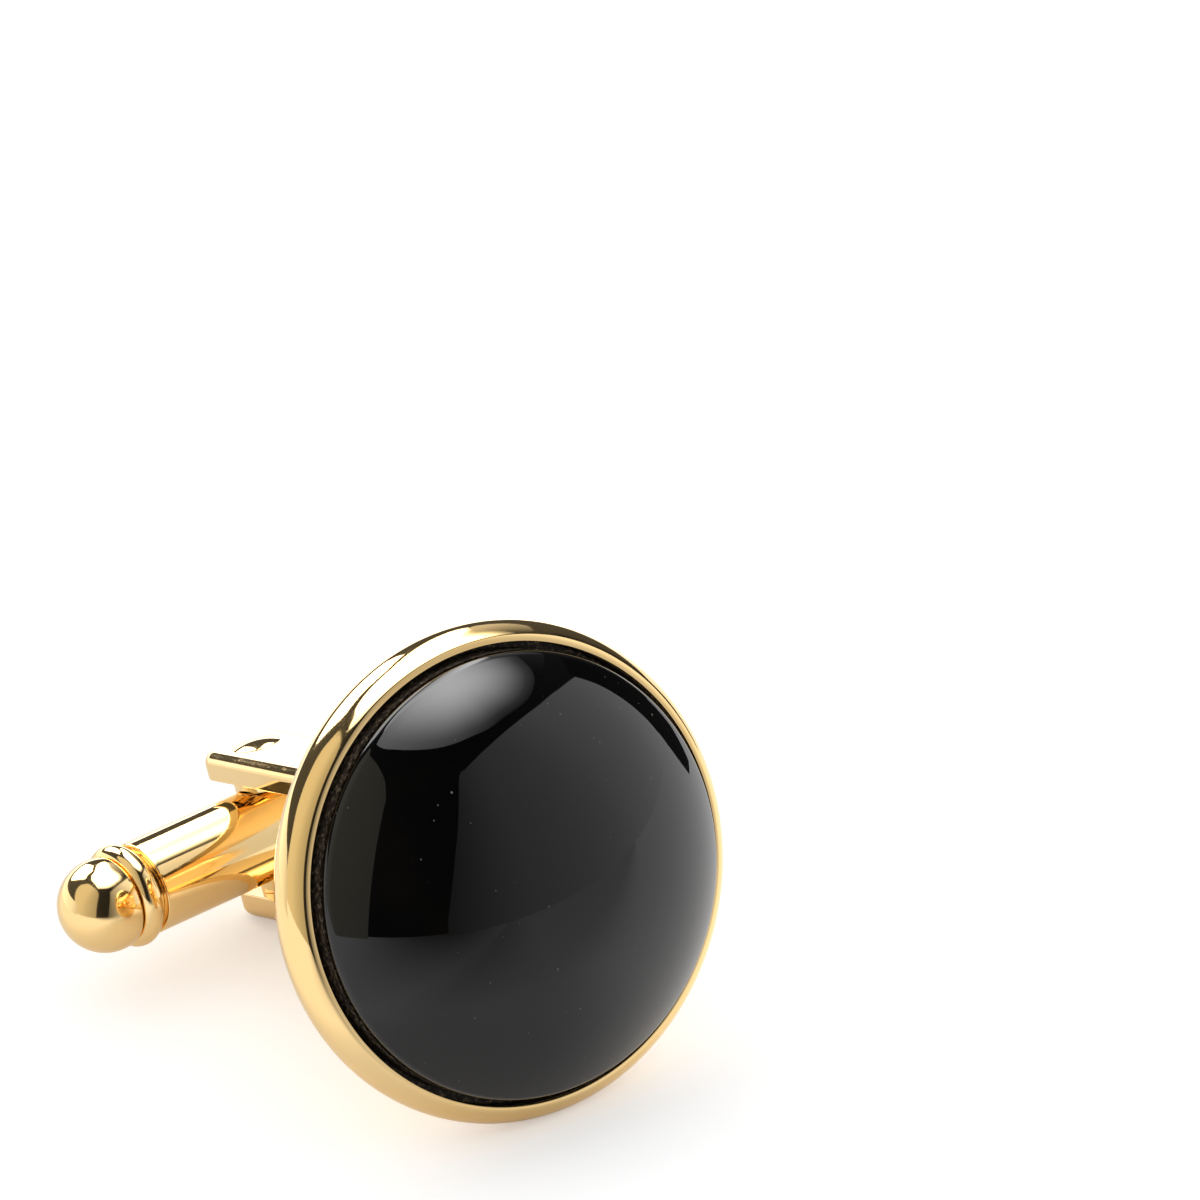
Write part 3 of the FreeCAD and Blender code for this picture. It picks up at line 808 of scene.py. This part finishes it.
# The mirrored table gets darker in front, by two shades: middle, half width and cover at most.
SHADES = ((-28, 34, 0.75), (5, 60, 0.2))
SHADE_START = 0.022
SHADE_LIFT = 0.0002
SHADE_STEPS = 30
SHADE_RINGS = 16

DARK_ROOM_RADIUS = 2.0
DARK_ROOM_FRONT = 0.02
DARK_ROOM_BACK = 0.09
DARK_ROOM_FOOT = -10
DARK_ROOM_STEP = 10

# The link lay rolled to its left in the photograph, so the whole view is turned about the post instead.
VIEW_ROLL = math.radians(5.38)
cuff_face = LINK.translation
about_post = Matrix.Rotation(VIEW_ROLL, 4, post_axis)
VIEW_TURN = Matrix.Translation(cuff_face) @ about_post @ Matrix.Translation(-cuff_face)

SOFTBOX_HEIGHT = 0.6
SOFTBOX_CORE = (0.108, 0.0)
SOFTBOX_CORE_LEVEL = 9.8
SOFTBOX_RINGS = 8
SHEET_EDGE_STEPS = 5

# The softbox's edge all round: azimuth, elevation and brightness.
SOFTBOX_EDGE = (
    (-98, 69, 3.0), (-70, 66, 2.2), (-52, 67.3, 1.8), (-27, 68.3, 1.3), (14, 67.8, 0.8), (35, 65.5, 0.4),
    (56, 62, 0.2), (79, 54, 0.2), (94, 50, 0.3), (104, 50.5, 0.35), (115, 50.5, 0.4), (128, 49.5, 0.5),
    (138, 44, 0.8), (143, 36, 1.2), (148, 27, 3.0), (153, 26, 4.0), (160, 34, 4.0), (167, 44, 4.5),
    (175, 53, 5.0), (185, 58, 5.5), (200, 60, 6.0), (225, 64, 5.5), (245, 68, 4.5),
)

# The cards, bent round the link: how far off they stand, then from end to end the azimuth, the lower and
# the upper elevation and the brightness.
CARD_DISTANCE = 0.5
BACK_CARD_DISTANCE = 0.9
LOW_CARD_DISTANCE = 0.075
TAIL_CARD_DISTANCE = 0.8
FLAG_DISTANCE = 0.05
FOOT = -8
RIGHT_CARD = (
    (-22, FOOT, 4, 0.15), (-17, FOOT, 29, 0.20), (-8, FOOT, 54, 0.31), (0, FOOT, 58, 0.42),
    (10, FOOT, 60, 0.53), (20, FOOT, 61, 0.60), (35, FOOT, 61, 0.70), (50, FOOT, 59.2, 0.85),
    (65, FOOT, 55.2, 1.05), (80, FOOT, 48.4, 1.15), (88, FOOT, 43, 1.2), (93, FOOT, 39, 1.25),
    (96.2, FOOT, 36, 1.25), (96.9, FOOT, 35.3, 1.25), (97.1, FOOT, 34, 1.25), (98, FOOT, 27, 1.3),
    (99, FOOT, 19.5, 1.3),
)
LEFT_CARD = (
    (-131, 36, 42, 0.85), (-126, 28, 50, 0.85), (-121, 22, 56, 0.85), (-113, 14, 59, 0.85),
    (-109, FOOT, 60, 0.85), (-103, FOOT, 61, 0.84), (-90, FOOT, 62, 0.80), (-78, FOOT, 62, 0.68),
    (-65, FOOT, 60, 0.57), (-55, FOOT, 55, 0.49), (-51, FOOT, 48, 0.46),
)
BACK_CARD_LEVEL = 5.0
BACK_CARD = (
    (168, 13, 36, BACK_CARD_LEVEL), (176, 13, 46, BACK_CARD_LEVEL), (182, 13, 51, BACK_CARD_LEVEL),
    (190, 13, 51, BACK_CARD_LEVEL), (198, 16, 50, BACK_CARD_LEVEL), (206, 30, 50, BACK_CARD_LEVEL),
    (213, 46, 50, BACK_CARD_LEVEL),
)
LOW_CARD = (
    (120, FOOT, 8, 2.0), (130, FOOT, 13, 2.4), (141, FOOT, 15, 2.5), (150, FOOT, 13, 2.5),
    (160, FOOT, 10, 2.4), (175, FOOT, 9, 2.0), (200, FOOT, 9, 1.6), (213, FOOT, 11, 1.5),
    (228, FOOT, 13, 1.3), (244, FOOT, 14, 1.1), (252, FOOT, 13, 0.9), (258, FOOT, 8, 0.8),
)
TAIL_CARD = (
    (92, 47, 51, 0.04), (98, 45, 51.5, 0.08), (106, 41, 52, 0.16), (116, 37, 52, 0.3),
    (126, 31, 51, 0.45), (134, 28, 48, 0.6), (140, 27, 42, 0.7), (146, 26, 32, 0.7),
)
FLAG_TOP = 45
FLAG_LEVEL = 0.03
FLAG_FOOT = ((90.3, 15), (91.5, 10), (94, 5), (95.5, 2), (97, 0), (98, 4), (99, 8), (100, 12))
BLACK_FLAG = tuple((azimuth, low, FLAG_TOP, FLAG_LEVEL) for azimuth, low in FLAG_FOOT)


def direction(azimuth, elevation):
    a, e = math.radians(azimuth), math.radians(elevation)
    return Vector((math.sin(a) * math.cos(e), -math.cos(a) * math.cos(e), math.sin(e)))


def seen_level(tree, camera_level, gloss_level, other_level):
    """One level for the camera's rays, one for rays from gloss or through glass, one for all others."""
    path = tree.nodes.new("ShaderNodeLightPath")
    level = other_level
    seen_by = (
        ("Is Glossy Ray", gloss_level),
        ("Is Transmission Ray", gloss_level),
        ("Is Camera Ray", camera_level),
    )
    for name, seen in seen_by:
        chosen = tree.nodes.new("ShaderNodeMix")
        tree.links.new(path.outputs[name], chosen.inputs["Factor"])
        feed(tree, level, chosen.inputs["A"])
        feed(tree, seen, chosen.inputs["B"])
        level = chosen.outputs["Result"]
    return level


def empty_material(name):
    material = bpy.data.materials.new(name)
    material.use_nodes = True
    material.node_tree.nodes.clear()
    return material


def show(tree, shader):
    """Makes the shader what the material shows."""
    out = tree.nodes.new("ShaderNodeOutputMaterial")
    tree.links.new(shader, out.inputs["Surface"])


def stage_piece(name, corners, faces, material):
    mesh = bpy.data.meshes.new(name)
    mesh.from_pydata(corners, [], faces)
    mesh.materials.append(material)
    made = as_object(name, mesh)
    return made


def mirrored_sheet(name, corners, faces, material, paint, levels):
    """A painted sheet. The camera looks through it and it lights nothing, but polished pieces mirror it."""
    made = stage_piece(name, corners, faces, material)
    made.data.attributes.new(paint, "FLOAT", "POINT").data.foreach_set("value", levels)
    made.visible_camera = False
    made.visible_diffuse = False
    made.visible_shadow = False


def lit_sheet(name, corners, faces, levels, tint=WHITE_LIGHT):
    """A sheet that glows by its own painted brightness.

    The sheets and the camera stand turned together about the post, against a link that lies level.
    """
    material = empty_material(name)
    tree = material.node_tree
    emitter = tree.nodes.new("ShaderNodeEmission")
    feed(tree, tint, emitter.inputs["Color"])
    feed(tree, paint_of(tree, "brightness"), emitter.inputs["Strength"])
    show(tree, emitter.outputs["Emission"])
    rolled = [VIEW_TURN @ Vector(corner) for corner in corners]
    mirrored_sheet(name, rolled, faces, material, "brightness", levels)


def smoothed(edge, closed=False):
    """More places along an edge, on a smooth line through the given ones."""
    count = len(edge)
    places = []
    for i in range(count if closed else count - 1):
        near = []
        for j in range(i - 1, i + 3):
            place = Vector(edge[j % count if closed else min(max(j, 0), count - 1)])
            if closed:
                place[0] += 360 * (j // count)
            near.append(place)
        a, b, c, d = near
        for step in range(SHEET_EDGE_STEPS):
            t = step / SHEET_EDGE_STEPS
            curve = b * 2 + (c - a) * t
            curve += (a * 2 - b * 5 + c * 4 - d) * t ** 2
            curve += (b * 3 - a - c * 3 + d) * t ** 3
            places.append(curve / 2)
    return places if closed else places + [Vector(edge[-1])]


def card(name, distance, edge, tint=WHITE_LIGHT):
    """An upright card bent round the link, between its lower and upper edge."""
    corners, levels = [], []
    places = smoothed(edge)
    for azimuth, low_deg, high_deg, level in places:
        for elevation in (low_deg, high_deg):
            rise = math.tan(math.radians(elevation))
            corners.append((direction(azimuth, 0) + Vector((0, 0, rise))) * distance)
            levels.append(level)
    faces = [(2 * i, 2 * i + 2, 2 * i + 3, 2 * i + 1) for i in range(len(places) - 1)]
    lit_sheet(name, corners, faces, levels, tint)


def softbox():
    """The wide sheet overhead, hot at its core and weaker towards its edge."""
    core = Vector((*SOFTBOX_CORE, SOFTBOX_HEIGHT))
    corners, levels, faces = [core], [SOFTBOX_CORE_LEVEL], []
    edge = smoothed(SOFTBOX_EDGE, closed=True)
    count = len(edge)
    for ring in range(1, SOFTBOX_RINGS + 1):
        share = ring / SOFTBOX_RINGS
        fall = share * share * (3 - 2 * share)
        for azimuth, elevation, level in edge:
            towards = direction(azimuth, elevation)
            corners.append(core.lerp(towards * SOFTBOX_HEIGHT / towards.z, share))
            levels.append(SOFTBOX_CORE_LEVEL + (level - SOFTBOX_CORE_LEVEL) * fall)
    for i in range(count):
        on = (i + 1) % count
        faces.append((0, 1 + i, 1 + on))
        for ring in range(SOFTBOX_RINGS - 1):
            near, far = 1 + ring * count, 1 + (ring + 1) * count
            faces.append((near + i, far + i, far + on, near + on))
    lit_sheet("softbox", corners, faces, levels)


def dark_room():
    """The unlit room all round, darkest in front."""
    corners, levels, faces = [], [], []
    azimuths = range(0, 361, DARK_ROOM_STEP)
    elevations = range(DARK_ROOM_FOOT, 91, DARK_ROOM_STEP)
    for azimuth in azimuths:
        behind = (1 - math.cos(math.radians(azimuth))) / 2
        tone = DARK_ROOM_FRONT + (DARK_ROOM_BACK - DARK_ROOM_FRONT) * behind
        corners += [direction(azimuth, elevation) * DARK_ROOM_RADIUS for elevation in elevations]
        levels += [tone] * len(elevations)
    rows = len(elevations)
    for i in range(len(azimuths) - 1):
        for j in range(rows - 1):
            faces.append((i * rows + j, i * rows + j + 1, (i + 1) * rows + j + 1, (i + 1) * rows + j))
    lit_sheet("dark_room", corners, faces, levels)


def table_shade():
    """A veil over the table in front, clear at its rims and darkest far out."""
    first = min(middle - half for middle, half, _ in SHADES)
    last = max(middle + half for middle, half, _ in SHADES)
    corners, covers, faces = [], [], []
    for i in range(SHADE_STEPS + 1):
        azimuth = first + (last - first) * i / SHADE_STEPS
        depth = 0
        for middle, half, most in SHADES:
            aside = min(abs(azimuth - middle) / half, 1)
            depth += most * math.cos(math.pi / 2 * aside)
        for ring in range(SHADE_RINGS + 1):
            radius = SHADE_START * (DARK_ROOM_RADIUS / SHADE_START) ** (ring / SHADE_RINGS)
            corners.append(direction(azimuth, 0) * radius + Vector((0, 0, SHADE_LIFT)))
            covers.append(depth * (1 - SHADE_START / radius))
    row = SHADE_RINGS + 1
    for i in range(SHADE_STEPS):
        for ring in range(SHADE_RINGS):
            near = i * row + ring
            faces.append((near, near + row, near + row + 1, near + 1))
    material = empty_material("table_shade")
    tree = material.node_tree
    clear = tree.nodes.new("ShaderNodeBsdfTransparent")
    black = tree.nodes.new("ShaderNodeEmission")
    black.inputs["Strength"].default_value = 0
    veil = tree.nodes.new("ShaderNodeMixShader")
    feed(tree, paint_of(tree, "cover"), veil.inputs["Fac"])
    tree.links.new(clear.outputs["BSDF"], veil.inputs[1])
    tree.links.new(black.outputs["Emission"], veil.inputs[2])
    show(tree, veil.outputs["Shader"])
    mirrored_sheet("table_shade", corners, faces, material, "cover", covers)


def painted_light_pools(tree):
    """Painted light: how much the table glows brighter close by on the right and on the left."""
    where = tree.nodes.new("ShaderNodeTexCoord")
    parts = tree.nodes.new("ShaderNodeSeparateXYZ")
    tree.links.new(where.outputs["Object"], parts.inputs["Vector"])
    across, along = parts.outputs["X"], parts.outputs["Y"]

    def fade(place, edge, level):
        """Rises softly from nought to the level, between the two places of the edge."""
        made = tree.nodes.new("ShaderNodeMapRange")
        made.interpolation_type = "SMOOTHSTEP"
        feed(tree, place, made.inputs["Value"])
        feed(tree, edge[0], made.inputs["From Min"])
        feed(tree, edge[1], made.inputs["From Max"])
        feed(tree, level, made.inputs["To Max"])
        return made.outputs["Result"]

    def worked_out(operation, *terms):
        made = tree.nodes.new("ShaderNodeMath")
        made.operation = operation
        for term, socket in zip(terms, made.inputs):
            feed(tree, term, socket)
        return made.outputs["Value"]

    slanted = worked_out("MULTIPLY_ADD", across, POOL_SLANT, along)
    right = fade(slanted, POOL_ALONG, fade(across, POOL_ACROSS, POOL_LEVEL))
    left = fade(across, LEFT_POOL_ACROSS, LEFT_POOL_LEVEL)
    return worked_out("ADD", right, left)


def white_floor():
    """A white table that keeps the shadow, and is white where nothing shades it."""
    material = empty_material("white_floor")
    tree = material.node_tree
    paper = tree.nodes.new("ShaderNodeBsdfDiffuse")
    paper.inputs["Color"].default_value = (FLOOR_PAPER, FLOOR_PAPER, FLOOR_PAPER, 1)
    lift = tree.nodes.new("ShaderNodeEmission")
    feed(tree, seen_level(tree, FLOOR_LIFT, painted_light_pools(tree), 0), lift.inputs["Strength"])
    both = tree.nodes.new("ShaderNodeAddShader")
    tree.links.new(paper.outputs["BSDF"], both.inputs[0])
    tree.links.new(lift.outputs["Emission"], both.inputs[1])
    show(tree, both.outputs["Shader"])
    half = FLOOR_SIZE / 2
    corners = [(-half, -half, 0), (half, -half, 0), (half, half, 0), (-half, half, 0)]
    stage_piece("floor", corners, [(0, 1, 2, 3)], material)


def white_world():
    """Even white light from all sides."""
    world = bpy.data.worlds.new("studio")
    bpy.context.scene.world = world
    world.use_nodes = True
    background = world.node_tree.nodes["Background"]
    background.inputs["Color"].default_value = (*WHITE_LIGHT, 1)
    background.inputs["Strength"].default_value = WORLD_FILL


white_floor()
white_world()
dark_room()
softbox()
card("card_right", CARD_DISTANCE, RIGHT_CARD)
card("card_left", CARD_DISTANCE, LEFT_CARD, WARM_LIGHT)
card("card_back", BACK_CARD_DISTANCE, BACK_CARD)
card("card_low", LOW_CARD_DISTANCE, LOW_CARD)
card("card_tail", TAIL_CARD_DISTANCE, TAIL_CARD)
card("black_flag", FLAG_DISTANCE, BLACK_FLAG)
table_shade()

# Camera, set to see the link as the photograph does. Its focal length is in pixels of the square frame, whose
# middle lies to the right of the link and above it.
FRAME_PIXELS = 1200
FOCAL_PIXELS = 11139.3
SENSOR_WIDTH = 36.0
CAMERA_AZIMUTH = -32.252
CAMERA_ELEVATION = 26.567
CAMERA_DISTANCE = 0.4
CAMERA_CLIP = (0.01, 20.0)
AIM_HEIGHT = 0.008
AIM_RIGHT = 0.006981
AIM_UP = 0.007718


def photograph_camera():
    backwards = direction(CAMERA_AZIMUTH, CAMERA_ELEVATION)
    view = (-backwards).to_track_quat("-Z", "Y")
    aim = Vector((0, 0, AIM_HEIGHT)) + view @ Vector((AIM_RIGHT, AIM_UP, 0))
    data = bpy.data.cameras.new("camera")
    data.sensor_width = SENSOR_WIDTH
    data.lens = SENSOR_WIDTH * FOCAL_PIXELS / FRAME_PIXELS
    data.clip_start, data.clip_end = CAMERA_CLIP
    camera = as_object("camera", data)
    level = Matrix.Translation(aim + backwards * CAMERA_DISTANCE) @ view.to_matrix().to_4x4()
    camera.matrix_world = VIEW_TURN @ level
    bpy.context.scene.camera = camera


photograph_camera()
bpy.context.scene.view_settings.view_transform = "Standard"
